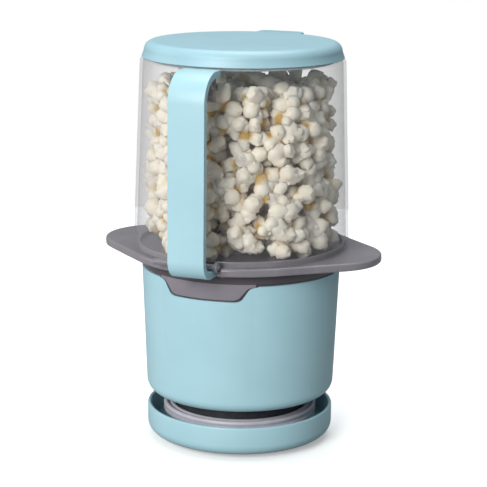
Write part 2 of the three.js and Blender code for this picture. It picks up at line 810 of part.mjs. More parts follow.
// The clear core lies inside the strap; its gusset is screwed on through the container's wall.
const coreOuterY = strapInnerY + gap;
const coreInnerY = coreOuterY + coreThickness;
const coreTop = armBottom - gap;
const coreBottom = pinZ + 10;
const coreBend = handleBend - handleThickness - gap;
const coreWallY = -containerTopRadius - 1.2;
const handleCoreShape = outline([
  [coreOuterY, coreBottom],
  ...arc(bendY, bendZ, coreBend, 180, 90, 8),
  [coreWallY, coreTop],
  [coreWallY, coreTop - gussetDrop],
  [coreWallY - 3, coreTop - gussetDrop],
  ...arc(bendY, bendZ, coreBend - coreThickness, 107, 180, 6),
  [coreInnerY, coreBottom],
]);
let handleCore = cut(solid(acrossX(handleCoreShape, coreWidth)), aroundContainer);
const screwDepth = 6;
[-1, 1].forEach((side) => {
  const bore = rodAlongY(screwHole, 2 * screwDepth, side * handleScrewHalf, coreWallY, handleScrewZ);
  handleCore = cut(handleCore, bore);
});
add("handle_core", fromSolid(handleCore), clearPlastic);

[-1, 1].forEach((side) => {
  const headY = -containerTopRadius + containerWall + 1.6;
  const shaftEndY = coreWallY - screwDepth + gap;
  const shaft = headY - shaftEndY;
  const body = join(
    solid(rodAlongY(screwHead, 1.6, side * handleScrewHalf, headY, handleScrewZ)),
    rodAlongY(screwShaft, shaft, side * handleScrewHalf, headY - shaft / 2, handleScrewZ),
  );
  add(side < 0 ? "handle_screw_left" : "handle_screw_right", fromSolid(body), steel);
});

// ---------- lid and seal ----------
const lidEdge = 6.5;
const lidTaper = 1.5; // how much narrower the lid is at its top edge
const plugOuter = mouthRadius - 2.1;
const sealMiddle = containerTop - containerWall / 2;
const sealHalf = 0.9;
const lidPlugWall = 2;
let lid = solid(
  turned([
    [0, lidTop],
    [0, lidTop - lidWall],
    [plugOuter - lidPlugWall, lidTop - lidWall],
    [plugOuter - lidPlugWall, lidBottom - lidPlugDepth],
    [plugOuter, lidBottom - lidPlugDepth],
    [plugOuter, lidBottom],
    [lidRadius, lidBottom],
    ...arc(lidRadius - lidTaper - lidEdge, lidTop - lidEdge, lidEdge, 0, 90, 5),
  ]),
);
const tabCorner = 6;
const tabShape = outline([
  [-tabWidth / 2, lidRadius - 8],
  [tabWidth / 2, lidRadius - 8],
  ...arc(tabWidth / 2 - tabCorner, tabReach - tabCorner, tabCorner, 0, 90, 4),
  ...arc(-tabWidth / 2 + tabCorner, tabReach - tabCorner, tabCorner, 90, 180, 4),
]);
const tabThickness = 4;
lid = join(lid, flat(tabShape, tabThickness).translate(0, 0, lidTop - tabThickness - 0.6));
add("lid", fromSolid(lid), aqua);
add(
  "lid_seal",
  turned([
    [plugOuter + gap, sealMiddle - sealHalf],
    [plugOuter + 1, sealMiddle - sealHalf],
    [mouthRadius - gap, sealMiddle],
    [plugOuter + 1, sealMiddle + sealHalf],
    [plugOuter + gap, sealMiddle + sealHalf],
  ]),
  silicone,
);

export default popper;
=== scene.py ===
import json
import math
import random

import bpy
from mathutils import Matrix, Vector, noise


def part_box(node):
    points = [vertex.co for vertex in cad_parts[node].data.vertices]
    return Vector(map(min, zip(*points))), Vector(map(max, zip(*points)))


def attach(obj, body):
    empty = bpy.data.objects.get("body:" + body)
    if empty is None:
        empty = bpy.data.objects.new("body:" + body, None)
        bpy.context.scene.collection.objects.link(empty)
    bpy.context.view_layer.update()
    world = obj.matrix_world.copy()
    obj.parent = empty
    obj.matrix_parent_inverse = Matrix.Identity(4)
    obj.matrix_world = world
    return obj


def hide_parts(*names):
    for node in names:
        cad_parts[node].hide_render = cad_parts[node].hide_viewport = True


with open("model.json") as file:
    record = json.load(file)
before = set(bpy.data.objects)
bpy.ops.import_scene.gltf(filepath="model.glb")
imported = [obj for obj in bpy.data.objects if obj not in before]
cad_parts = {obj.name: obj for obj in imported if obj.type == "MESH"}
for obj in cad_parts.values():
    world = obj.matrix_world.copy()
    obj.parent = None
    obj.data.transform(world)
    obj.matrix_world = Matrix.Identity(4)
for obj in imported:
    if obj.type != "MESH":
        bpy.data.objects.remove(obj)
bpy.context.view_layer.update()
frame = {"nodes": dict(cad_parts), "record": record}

scene = bpy.context.scene

# ---------------------------------------------------------------------------
# Studio: a long lens a little above the lid, a big softbox to the front left, a
# weak card on the left, a softbox above, and a pale table on a white backdrop.
# ---------------------------------------------------------------------------
VIEW_TURN = math.radians(21.5)
VIEW_PITCH = math.radians(12.86)
VIEW_ROLL = math.radians(0.61)
camera_data = bpy.data.cameras.new("camera")
camera_data.lens = 126.7
camera_data.sensor_width = 36
camera_data.clip_end = 20
camera = bpy.data.objects.new("camera", camera_data)
scene.collection.objects.link(camera)
camera.matrix_world = (
    Matrix.Rotation(VIEW_TURN, 4, "Z")
    @ Matrix.Translation((0.00156, -1.1723, 0.4055))
    @ Matrix.Rotation(math.radians(90) - VIEW_PITCH, 4, "X")
    @ Matrix.Rotation(VIEW_ROLL, 4, "Z")
)
scene.camera = camera
scene.view_settings.view_transform = "Standard"


def linear(hex_colour):
    """An sRGB hex colour as the linear RGBA that a shader takes."""
    channels = [int(hex_colour[i : i + 2], 16) / 255 for i in (1, 3, 5)]
    return [
        *(c / 12.92 if c <= 0.04045 else ((c + 0.055) / 1.055) ** 2.4 for c in channels),
        1.0,
    ]


def add_node(tree, kind, inputs=None, **settings):
    """Adds a node with its settings, and sets each named input or links it to a socket."""
    made = tree.nodes.new(kind)
    for name, value in settings.items():
        setattr(made, name, value)
    for name, value in (inputs or {}).items():
        if isinstance(value, bpy.types.NodeSocket):
            tree.links.new(value, made.inputs[name])
        else:
            made.inputs[name].default_value = value
    return made


def softbox(name, place, size, power, colour):
    """A square area light that looks at the middle of the container."""
    light = bpy.data.lights.new(name, "AREA")
    light.size = size
    light.energy = power
    light.color = linear(colour)[:3]
    lamp = bpy.data.objects.new(name, light)
    scene.collection.objects.link(lamp)
    spot = Matrix.Rotation(VIEW_TURN, 3, "Z") @ Vector(place)
    lamp.location = spot
    lamp.rotation_euler = (spot - Vector((0, 0, 0.15))).to_track_quat("Z", "Y").to_euler()


softbox("key_softbox", (-1.03, -1.96, 1.02), 1.2, 56, "#fffefb")
softbox("side_card", (-1.5, 0.25, 0.45), 0.9, 4, "#ffffff")
softbox("top_softbox", (0.1, 0.3, 2.0), 1.4, 29, "#ffffff")

world = bpy.data.worlds.new("studio")
scene.world = world
world.use_nodes = True
sky = world.node_tree
sky.nodes.clear()
ambient = add_node(sky, "ShaderNodeBackground", {"Color": linear("#e6f3f8"), "Strength": 0.27})
backdrop = add_node(sky, "ShaderNodeBackground", {"Color": linear("#ffffff"), "Strength": 1.0})
seen_by_eye = add_node(sky, "ShaderNodeLightPath")
blend = add_node(
    sky,
    "ShaderNodeMixShader",
    {0: seen_by_eye.outputs["Is Camera Ray"], 1: ambient.outputs[0], 2: backdrop.outputs[0]},
)
add_node(sky, "ShaderNodeOutputWorld", {"Surface": blend.outputs[0]})

bpy.ops.object.select_all(action="DESELECT")
bpy.ops.mesh.primitive_circle_add(vertices=96, radius=0.8, fill_type="NGON", location=(0, 0, -0.0002))
floor = bpy.context.object
floor.name = "table"
card = bpy.data.materials.new("matt_white_card")
card.use_nodes = True
card_tree = card.node_tree
card_shader = card_tree.nodes["Principled BSDF"]
card_eye = add_node(card_tree, "ShaderNodeLightPath")
card_tone = add_node(
    card_tree,
    "ShaderNodeMix",
    {"Factor": card_eye.outputs["Is Camera Ray"], 6: linear("#9c9c9c"), 7: linear("#fafafa")},
    data_type="RGBA",
)
card_glow = add_node(
    card_tree,
    "ShaderNodeMath",
    {0: card_eye.outputs["Is Camera Ray"], 1: 0.30},
    operation="MULTIPLY",
)
card_tree.links.new(card_tone.outputs[2], card_shader.inputs["Base Color"])
card_tree.links.new(card_glow.outputs[0], card_shader.inputs["Emission Strength"])
card_shader.inputs["Emission Color"].default_value = linear("#ffffff")
card_shader.inputs["Roughness"].default_value = 0.9
card_shader.inputs["Specular IOR Level"].default_value = 0.0
floor.data.materials.append(card)

# ---------------------------------------------------------------------------
# Mains cord: a flat twin heater cord of grey vinyl, wound twice round the
# spool on edge. Its end passes over the pan's rim, turns flat and lies down
# behind the machine, where it runs into a moulded two-blade plug.
# ---------------------------------------------------------------------------
CORD_THICKNESS = 0.0038
CORD_MIDDLE = 0.0208
WIND_START = 52.0
WIND_SWEEP = 718.0
EXIT_RADIUS = 0.0466
INNER_TURN = 0.0483
OUTER_TURN = 0.0523
TAIL_ROUTE = [
    (16.1, 54.9, 27.0),
    (10.7, 59.4, 28.2),
    (4.6, 64.6, 28.8),
    (-1.6, 69.7, 28.2),
    (-6.9, 74.2, 26.2),
    (-12.3, 78.7, 22.6),
    (-17.6, 83.2, 17.6),
    (-23.0, 87.7, 12.2),
    (-28.3, 92.6, 7.6),
    (-32.9, 97.9, 4.6),
    (-36.8, 104.2, 3.0),
    (-39.6, 111.0, 2.3),
    (-41.3, 117.0, 2.2),
]


def smooth_step(value):
    held = min(1.0, max(0.0, value))
    return held * held * (3 - 2 * held)


def new_paint(name):
    """A node material, its tree and shader, and a socket of the piece's own coordinates."""
    paint = bpy.data.materials.new(name)
    paint.use_nodes = True
    tree = paint.node_tree
    where = add_node(tree, "ShaderNodeTexCoord").outputs["Object"]
    return paint, tree, tree.nodes["Principled BSDF"], where


def two_tones(tree, factor, dark, light, low=0.0, high=1.0):
    """A ramp between two colours, from one value of its factor to another."""
    ramp = add_node(tree, "ShaderNodeValToRGB", {"Fac": factor})
    for element, place, colour in zip(ramp.color_ramp.elements, (low, high), (dark, light)):
        element.position = place
        element.color = linear(colour)
    return ramp


def add_bump(tree, shader, height, strength, depth):
    """A bump on the shader's normal, as deep as given in metres."""
    values = {"Height": height, "Strength": strength, "Distance": depth}
    bump = add_node(tree, "ShaderNodeBump", values)
    tree.links.new(bump.outputs["Normal"], shader.inputs["Normal"])


def vinyl_grey():
    """Flexible PVC, extruded: satin, with faint lengthways drag and dull dust spots."""
    paint, tree, shader, where = new_paint("grey_vinyl_extruded")
    dust = add_node(tree, "ShaderNodeTexNoise", {"Vector": where, "Scale": 180, "Detail": 5})
    grey = two_tones(tree, dust.outputs["Fac"], "#a9a8b4", "#c4c3cd")
    grain = add_node(tree, "ShaderNodeTexNoise", {"Vector": where, "Scale": 1400, "Detail": 2})
    add_bump(tree, shader, grain.outputs["Fac"], 0.15, 0.0002)
    tree.links.new(grey.outputs["Color"], shader.inputs["Base Color"])
    shader.inputs["Roughness"].default_value = 0.42
    shader.inputs["IOR"].default_value = 1.52
    return paint


cord_path = []
for step in range(0, int(WIND_SWEEP) + 1, 6):
    turn = math.radians(WIND_START + step)
    radius = EXIT_RADIUS + (INNER_TURN - EXIT_RADIUS) * smooth_step(step / 50)
    radius += (OUTER_TURN - INNER_TURN) * smooth_step((step - 300) / 72)
    lift = 0.0016 * smooth_step((step - 680) / 38)
    cord_path.append(
        Vector((radius * math.cos(turn), radius * math.sin(turn), CORD_MIDDLE + lift))
    )
wound = len(cord_path)
cord_path.append(Vector((0.0247, 0.0477, 0.0247)))
cord_path.extend(Vector(point) / 1000 for point in TAIL_ROUTE)

smooth_path = []
for number in range(len(cord_path) - 1):
    before = cord_path[max(number - 1, 0)]
    here = cord_path[number]
    after = cord_path[number + 1]
    beyond = cord_path[min(number + 2, len(cord_path) - 1)]
    steps = 2 if number < wound else 5
    for part in range(steps):
        t = part / steps
        smooth_path.append(
            0.5
            * (
                2 * here
                + (after - before) * t
                + (2 * before - 5 * here + 4 * after - beyond) * t**2
                + (3 * here - before - 3 * after + beyond) * t**3
            )
        )
smooth_path.append(cord_path[-1])

twin_section = []
lobe = CORD_THICKNESS / 2
for side in (1, -1):
    for number in range(11):
        angle = math.radians(-138 + 27.6 * number)
        twin_section.append((side * lobe * (1 + math.cos(angle)), side * lobe * math.sin(angle)))
cord_points = []
tail_start = wound * 2
for number, here in enumerate(smooth_path):
    ahead = smooth_path[min(number + 1, len(smooth_path) - 1)]
    behind = smooth_path[max(number - 1, 0)]
    along = (ahead - behind).normalized()
    flatten = smooth_step((number - tail_start - 12) / (len(smooth_path) - tail_start - 28))
    out = along.cross(Vector((0, 0, 1))).normalized()
    up = out.cross(along).normalized()
    turned_flat = Matrix.Rotation(flatten * math.pi / 2, 3, along)
    across = turned_flat @ up
    face = turned_flat @ out
    cord_points.extend(here + across * w + face * n for w, n in twin_section)
ring_size = len(twin_section)
cord_faces = [list(range(ring_size))]
for number in range(len(smooth_path) - 1):
    for corner in range(ring_size):
        following = (corner + 1) % ring_size
        low = number * ring_size
        cord_faces.append(
            [low + corner, low + following, low + ring_size + following, low + ring_size + corner]
        )
last = (len(smooth_path) - 1) * ring_size
cord_faces.append([last + corner for corner in range(ring_size)])
cord_mesh = bpy.data.meshes.new("mains_cord")
cord_mesh.from_pydata(cord_points, [], cord_faces)
mains_cord = bpy.data.objects.new("mains_cord", cord_mesh)
scene.collection.objects.link(mains_cord)


def edit(piece):
    """Selects only this piece and opens it for editing with nothing selected in it."""
    bpy.ops.object.select_all(action="DESELECT")
    piece.select_set(True)
    bpy.context.view_layer.objects.active = piece
    bpy.ops.object.mode_set(mode="EDIT")
    bpy.ops.mesh.select_all(action="DESELECT")


def face_out(piece):
    """Merges doubles, turns every face outwards and leaves edit mode."""
    edit(piece)
    bpy.ops.mesh.select_all(action="SELECT")
    bpy.ops.mesh.remove_doubles(threshold=0.000001)
    bpy.ops.mesh.normals_make_consistent(inside=False)
    bpy.ops.object.mode_set(mode="OBJECT")


def smooth(piece, degrees=32):
    """Smooth shading, with a crease wherever two faces meet at more than this angle."""
    bpy.ops.object.select_all(action="DESELECT")
    piece.select_set(True)
    bpy.context.view_layer.objects.active = piece
    bpy.ops.object.shade_smooth_by_angle(angle=math.radians(degrees))


def fit(piece, paint, body, slot, *nodes):
    """Gives a finished piece its material and its body, and hides the CAD nodes it stands for."""
    piece.data.materials.clear()
    piece.data.materials.append(paint)
    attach(piece, body)
    if nodes:
        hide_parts(*nodes)


face_out(mains_cord)
smooth(mains_cord, 60)
cord_vinyl = vinyl_grey()
fit(mains_cord, cord_vinyl, "base", "grey_cord", "cord_winding", "cord_tail")

# The plug is one moulding with a finger groove, a ribbed boot and two brass blades.
PLUG_TURN = math.radians(18)
PLUG_PLACE = Vector((-0.041, 0.1175, 0.0))
PLUG_LENGTH = 0.034
PLUG_WIDTH = 0.020
PLUG_BOTTOM = 0.0004
PLUG_TOP = 0.0138
plug_seat = Matrix.Translation(PLUG_PLACE) @ Matrix.Rotation(PLUG_TURN, 4, "Z")


def add_box(name, size, middle):
    """A cube primitive scaled to a box, with its place in its mesh."""
    bpy.ops.object.select_all(action="DESELECT")
    bpy.ops.mesh.primitive_cube_add(size=1, location=middle)
    piece = bpy.context.object
    piece.name = name
    piece.scale = size
    bpy.ops.object.transform_apply(location=True, rotation=True, scale=True)
    return piece


def apply_modifier(piece, kind, **settings):
    """Adds one modifier with its settings and applies it."""
    bpy.ops.object.select_all(action="DESELECT")
    piece.select_set(True)
    bpy.context.view_layer.objects.active = piece
    modifier = piece.modifiers.new(kind.lower(), kind)
    for name, value in settings.items():
        setattr(modifier, name, value)
    bpy.ops.object.modifier_apply(modifier=modifier.name)


plug_middle = (PLUG_BOTTOM + PLUG_TOP) / 2
plug = add_box(
    "plug_moulding",
    (PLUG_WIDTH, 0.017, PLUG_TOP - PLUG_BOTTOM),
    (0, PLUG_LENGTH - 0.0085, plug_middle),
)
edit(plug)
bpy.ops.mesh.select_mode(type="FACE")
bpy.ops.object.mode_set(mode="OBJECT")
for face in plug.data.polygons:
    face.select = face.normal.y < -0.5
bpy.ops.object.mode_set(mode="EDIT")
for step, shrink in ((0.006, 0.62), (0.004, 0.86), (0.0065, 0.92)):
    bpy.ops.mesh.extrude_region_move(TRANSFORM_OT_translate={"value": (0, -step, 0)})
    bpy.ops.transform.resize(
        value=(shrink, 1, 0.94),
        center_override=(0, 0, plug_middle),
    )
bpy.ops.mesh.select_mode(type="VERT")
bpy.ops.object.mode_set(mode="OBJECT")
apply_modifier(plug, "BEVEL", width=0.0022, segments=4, limit_method="ANGLE")
face_out(plug)
bpy.ops.object.select_all(action="DESELECT")
plug.data.transform(plug_seat)
smooth(plug, 40)
fit(plug, cord_vinyl, "base", "grey_cord", "plug_body")


def sheet_brass():
    """Rolled brass strip: a warm metal with fine lengthways rolling lines and light tarnish."""
    paint, tree, shader, where = new_paint("rolled_brass")
    cloud = add_node(tree, "ShaderNodeTexNoise", {"Vector": where, "Scale": 300, "Detail": 4})
    tone = two_tones(tree, cloud.outputs["Fac"], "#b48e4c", "#dcc07c")
    tree.links.new(tone.outputs["Color"], shader.inputs["Base Color"])
    shader.inputs["Metallic"].default_value = 1.0
    shader.inputs["Roughness"].default_value = 0.28
    return paint


brass = sheet_brass()
BLADE_SPACING = 0.0127
BLADE_HEIGHT = 0.007
for side, label in ((-1, "left"), (1, "right")):
    blade = add_box(
        f"plug_contact_{label}",
        (0.0015, 0.0158, 0.0064),
        (side * BLADE_SPACING / 2, PLUG_LENGTH + 0.0082, BLADE_HEIGHT),
    )
    bpy.ops.object.select_all(action="DESELECT")
    bpy.ops.mesh.primitive_cylinder_add(
        vertices=24,
        radius=0.0016,
        depth=0.006,
        location=(side * BLADE_SPACING / 2, PLUG_LENGTH + 0.0125, BLADE_HEIGHT),
        rotation=(0, math.pi / 2, 0),
    )
    punch = bpy.context.object
    apply_modifier(blade, "BOOLEAN", object=punch, operation="DIFFERENCE", solver="EXACT")
    bpy.data.objects.remove(punch)
    apply_modifier(blade, "BEVEL", width=0.0003, segments=2, limit_method="ANGLE")
    face_out(blade)
    blade.data.transform(plug_seat)
    smooth(blade)
    fit(blade, brass, "base", "brass", f"plug_blade_{label}")

# ---------------------------------------------------------------------------
# Cord pan: a shallow moulded dish of satin aqua ABS with a rolled rim. It
# stands on a rubber pad and hangs on the spool by three screws.
# ---------------------------------------------------------------------------
HOOPS = 160


def arc(centre_r, centre_z, radius, start, end, steps=8):
    """Points along a round edge of a turned profile, from one angle to another in degrees."""
    points = []
    for number in range(steps + 1):
        angle = math.radians(start + (end - start) * number / steps)
        points.append((centre_r + radius * math.cos(angle), centre_z + radius * math.sin(angle)))
    return points


def raise_hoops(name, profile, closed=True, hoops=HOOPS):
    """A turned shell: one circle, extruded, lifted and resized to each point of the profile.

    A closed profile ends where it begins; an open one has its two round ends filled flat."""
    path = [*profile, profile[0]] if closed else profile
    radius, height = path[0]
    bpy.ops.object.select_all(action="DESELECT")
    bpy.ops.mesh.primitive_circle_add(vertices=hoops, radius=radius, location=(0, 0, height))
    piece = bpy.context.object
    piece.name = name
    bpy.ops.object.transform_apply(location=True, rotation=True, scale=True)
    bpy.ops.object.mode_set(mode="EDIT")
    bpy.ops.mesh.select_all(action="SELECT")
    for next_radius, next_height in path[1:]:
        bpy.ops.mesh.extrude_edges_move(
            TRANSFORM_OT_translate={"value": (0, 0, next_height - height)}
        )
        grow = next_radius / radius
        bpy.ops.transform.resize(value=(grow, grow, 1), center_override=(0, 0, next_height))
        radius, height = next_radius, next_height
    if not closed:
        bpy.ops.mesh.select_all(action="DESELECT")
        bpy.ops.mesh.select_non_manifold()
        bpy.ops.mesh.edge_face_add()
    bpy.ops.object.mode_set(mode="OBJECT")
    return piece


def spread(tree, value, low, high):
    """A value from 0 to 1 spread over a range."""
    return add_node(tree, "ShaderNodeMapRange", {"Value": value, "To Min": low, "To Max": high})


def aqua_abs(name, dark, light):
    """Injection-moulded ABS in pale aqua: a satin skin with fine spark texture and soft tone drift."""
    paint, tree, shader, where = new_paint(name)
    drift = add_node(tree, "ShaderNodeTexNoise", {"Vector": where, "Scale": 28, "Detail": 3})
    tone = two_tones(tree, drift.outputs["Fac"], dark, light, 0.3, 0.7)
    spark = add_node(tree, "ShaderNodeTexNoise", {"Vector": where, "Scale": 1800, "Detail": 2})
    satin = spread(tree, spark.outputs["Fac"], 0.40, 0.52)
    add_bump(tree, shader, spark.outputs["Fac"], 0.12, 0.0001)
    tree.links.new(tone.outputs["Color"], shader.inputs["Base Color"])
    tree.links.new(satin.outputs["Result"], shader.inputs["Roughness"])
    shader.inputs["IOR"].default_value = 1.53
    return paint


aqua = aqua_abs("aqua_abs_satin", "#9fc5d0", "#a4cad5")
PAN_WALL = 0.0025
PAN_EDGE = 0.008
pan_low, pan_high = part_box("cord_pan")
pan_radius = pan_high[0]
pan_bottom, pan_rim = pan_low[2], pan_high[2]
pan_floor = pan_bottom + PAN_WALL
pan_inner = pan_radius - PAN_WALL
pan = raise_hoops(
    "aqua_cord_pan",
    [
        (0.0495, pan_bottom + 0.0006),
        (0.0502, pan_bottom),
        *arc(pan_radius - PAN_EDGE, pan_bottom + PAN_EDGE, PAN_EDGE, 270, 360, 12),
        *arc(pan_radius - PAN_WALL / 2, pan_rim - PAN_WALL / 2, PAN_WALL / 2, 0, 180, 10),
        *arc(
            pan_inner - PAN_EDGE + PAN_WALL,
            pan_floor + PAN_EDGE - PAN_WALL,
            PAN_EDGE - PAN_WALL,
            360,
            270,
            8,
        ),
    ],
    closed=False,
)
face_out(pan)
smooth(pan)
fit(pan, aqua, "base", "aqua_plastic", "cord_pan")

# ---------------------------------------------------------------------------
# Base shell: the tall aqua housing, slightly wider at the top, with a soft
# bottom edge and a slot at the front for the badge. One ABS moulding.
# ---------------------------------------------------------------------------
SHELL_WALL = 0.0025
SHELL_EDGE = 0.008
SHELL_FOOT = 0.066
BADGE_DROP = 0.0095
BADGE_TOP_HALF = 0.0305
BADGE_FOOT_HALF = 0.0235
BADGE_SEAM = 0.0013
shell_low, shell_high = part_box("base_shell")
shell_foot, shell_top = shell_low[2], shell_high[2]
shell_radius = shell_high[0]
shell_inner_edge = SHELL_EDGE - SHELL_WALL
shell = raise_hoops(
    "aqua_base_shell",
    [
        (SHELL_FOOT - SHELL_EDGE, shell_foot + 0.0004),
        *arc(SHELL_FOOT - SHELL_EDGE, shell_foot + SHELL_EDGE, SHELL_EDGE, 272, 358, 14),
        *arc(shell_radius - 0.0006, shell_top - 0.0006, 0.0006, 0, 90, 3),
        (shell_radius - SHELL_WALL, shell_top),
        *arc(SHELL_FOOT - SHELL_EDGE, shell_foot + SHELL_EDGE, shell_inner_edge, 358, 272, 8),
    ],
    hoops=240,
)


def badge_block(name, margin, top, depth):
    """The badge's outline as a block in front of the shell: a bar with its lower corners drawn in."""
    foot = shell_top - BADGE_DROP - margin
    slope = (BADGE_TOP_HALF - BADGE_FOOT_HALF) / BADGE_DROP
    outline = [(-BADGE_TOP_HALF - margin - 0.004, top)]
    for corner_x, corner_z, before, after in (
        (-BADGE_TOP_HALF - margin, shell_top - 0.0004, (-0.004, 0.0), (0.0022 * slope, -0.0022)),
        (-BADGE_FOOT_HALF - margin, foot, (-0.0024 * slope, 0.0024), (0.004, 0.0)),
    ):
        for number in range(7):
            t = number / 6
            outline.append(
                (
                    corner_x + (1 - t) ** 2 * before[0] + t**2 * after[0],
                    corner_z + (1 - t) ** 2 * before[1] + t**2 * after[1],
                )
            )
    outline = outline + [(-x, z) for x, z in reversed(outline)]
    bpy.ops.object.select_all(action="DESELECT")
    bpy.ops.mesh.primitive_circle_add(vertices=len(outline), radius=0.03, fill_type="NGON")
    block = bpy.context.object
    block.name = name
    for vertex, (x, z) in zip(block.data.vertices, outline):
        vertex.co = (x, -0.03, z)
    edit(block)
    bpy.ops.mesh.select_all(action="SELECT")
    bpy.ops.mesh.extrude_region_move(TRANSFORM_OT_translate={"value": (0, -depth, 0)})
    bpy.ops.object.mode_set(mode="OBJECT")
    face_out(block)
    return block


face_out(shell)
slot_cutter = badge_block("badge_slot", BADGE_SEAM, shell_top + 0.002, 0.05)
apply_modifier(shell, "BOOLEAN", object=slot_cutter, operation="DIFFERENCE", solver="EXACT")
bpy.data.objects.remove(slot_cutter)
smooth(shell)
fit(shell, aqua, "base", "aqua_plastic", "base_shell")

# ---------------------------------------------------------------------------
# Top collar: one smoke-grey moulding with the deck that holds the chamber, the
# ring that shows under the tray, and a flange that backs the slot. Its grey is
# darkened as painted shade for the tray's shadow. The face of the blank badge is
# a piece of its own, in a lighter grey that is painted light: the lit copy of
# the same plastic.
# ---------------------------------------------------------------------------


def smoke_plastic(name, light, dark, opacity):
    """Smoke-tinted styrene-acrylonitrile, moulded glossy: faint flow streaks and light scuffing."""
    paint, tree, shader, where = new_paint(name)
    flow = add_node(
        tree,
        "ShaderNodeTexNoise",
        {"Vector": where, "Scale": 22, "Detail": 4, "Distortion": 0.8},
    )
    tone = two_tones(tree, flow.outputs["Fac"], dark, light, 0.35, 0.65)
    scuff = add_node(tree, "ShaderNodeTexNoise", {"Vector": where, "Scale": 420, "Detail": 6})
    gloss = spread(tree, scuff.outputs["Fac"], 0.16, 0.30)
    tree.links.new(tone.outputs["Color"], shader.inputs["Base Color"])
    tree.links.new(gloss.outputs["Result"], shader.inputs["Roughness"])
    shader.inputs["IOR"].default_value = 1.57
    shader.inputs["Alpha"].default_value = opacity
    return paint


# Painted shade: this grey is darkened to stand in for the shadow that the tray's overhang casts on the
# collar ring and on the slot's flange.
smoke_painted_shade = smoke_plastic("smoke_grey_san_painted_shade", "#4d474e", "#453f46", 1.0)
COLLAR_WALL = 0.0025
COLLAR_DECK = 0.0025
GROOVE_DEPTH = 0.0014
GROOVE_HEIGHT = 0.0013
collar_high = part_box("top_collar")[1]
collar_radius = collar_high[0]
collar_top = collar_high[2]
collar_foot = shell_top + 0.0003
deck_low = collar_top - 0.0015 - COLLAR_DECK
DECK_HOLE = 0.033
collar = raise_hoops(
    "smoky_collar",
    [
        *arc(DECK_HOLE + 0.0005, deck_low + 0.0005, 0.0005, 180, 270, 3),
        (collar_radius - COLLAR_WALL, deck_low),
        (collar_radius - COLLAR_WALL, collar_foot),
        (collar_radius - GROOVE_DEPTH, collar_foot),
        (collar_radius - GROOVE_DEPTH, collar_foot + GROOVE_HEIGHT),
        *arc(collar_radius - 0.0003, collar_foot + GROOVE_HEIGHT + 0.0003, 0.0003, 270, 360, 3),
        *arc(collar_radius - 0.001, collar_top - 0.001, 0.001, 0, 90, 4),
        (collar_radius - COLLAR_WALL, collar_top),
        (collar_radius - COLLAR_WALL, deck_low + COLLAR_DECK),
        *arc(DECK_HOLE + 0.0005, deck_low + COLLAR_DECK - 0.0005, 0.0005, 90, 180, 3),
    ],
    hoops=240,
)
face_out(collar)
FLANGE_DEPTH = 0.0017
flange = raise_hoops(
    "slot_flange",
    [
        (shell_radius - SHELL_WALL, shell_top - BADGE_DROP - 0.003),
        (shell_radius - FLANGE_DEPTH - 0.0003, shell_top - BADGE_DROP - 0.003),
        (shell_radius - FLANGE_DEPTH, collar_foot + 0.0004),
        (shell_radius - SHELL_WALL, collar_foot + 0.0004),
    ],
    hoops=240,
)
face_out(flange)
flange_core = badge_block("flange_core", BADGE_SEAM - 0.00004, shell_top + 0.004, 0.05)
apply_modifier(flange, "BOOLEAN", object=flange_core, operation="INTERSECT", solver="EXACT")
apply_modifier(collar, "BOOLEAN", object=flange, operation="UNION", solver="EXACT")
bpy.data.objects.remove(flange_core)
bpy.data.objects.remove(flange)
smooth(collar)
fit(collar, smoke_painted_shade, "base", "smoky_plastic", "top_collar")
nameplate = raise_hoops(
    "blank_nameplate",
    [
        (shell_radius - SHELL_WALL, shell_top - BADGE_DROP - 0.002),
        (shell_radius - 0.0003, shell_top - BADGE_DROP - 0.002),
        (collar_radius - 0.0001, collar_top - 0.0006),
        (collar_radius - 0.0009, collar_top - 0.0002),
        (shell_radius - SHELL_WALL, collar_top - 0.0002),
    ],
    hoops=240,
)
face_out(nameplate)
badge_core = badge_block("badge_core", 0.0, shell_top + 0.004, 0.05)
apply_modifier(nameplate, "BOOLEAN", object=badge_core, operation="INTERSECT", solver="EXACT")
bpy.data.objects.remove(badge_core)
apply_modifier(nameplate, "BEVEL", width=0.0004, segments=2, limit_method="ANGLE", angle_limit=0.9)
smooth(nameplate)
# Painted light: the badge face is the collar's smoke-grey plastic made lighter, standing in for the light
# that falls on it below the tray.
plate_grey_painted_lit = smoke_plastic("smoke_grey_san_nameplate_painted_lit", "#857f87", "#7c767e", 1.0)
fit(nameplate, plate_grey_painted_lit, "base", "smoky_plastic")

# ---------------------------------------------------------------------------
# Inner works: spool, base plate, motor, fan, heater and duct are plain
# functional pieces that keep their own shapes and get the finish of each stock.
# ---------------------------------------------------------------------------


def plain_stock(name, dark, light, spot, roughness, metallic=0.0, dents=0.0, ior=1.5):
    """A stock finish: two close tones in cloudy patches of a real size, with a fine bump."""
    paint, tree, shader, where = new_paint(name)
    cloud = add_node(tree, "ShaderNodeTexNoise", {"Vector": where, "Scale": 1 / spot, "Detail": 5})
    tone = two_tones(tree, cloud.outputs["Fac"], dark, light, 0.3, 0.7)
    fine = add_node(tree, "ShaderNodeTexNoise", {"Vector": where, "Scale": 8 / spot, "Detail": 3})
    add_bump(tree, shader, fine.outputs["Fac"], 0.2, dents)
    worn = spread(tree, fine.outputs["Fac"], roughness - 0.08, roughness + 0.08)
    tree.links.new(tone.outputs["Color"], shader.inputs["Base Color"])
    tree.links.new(worn.outputs["Result"], shader.inputs["Roughness"])
    shader.inputs["Metallic"].default_value = metallic
    if metallic == 0.0:
        shader.inputs["IOR"].default_value = ior
    return paint


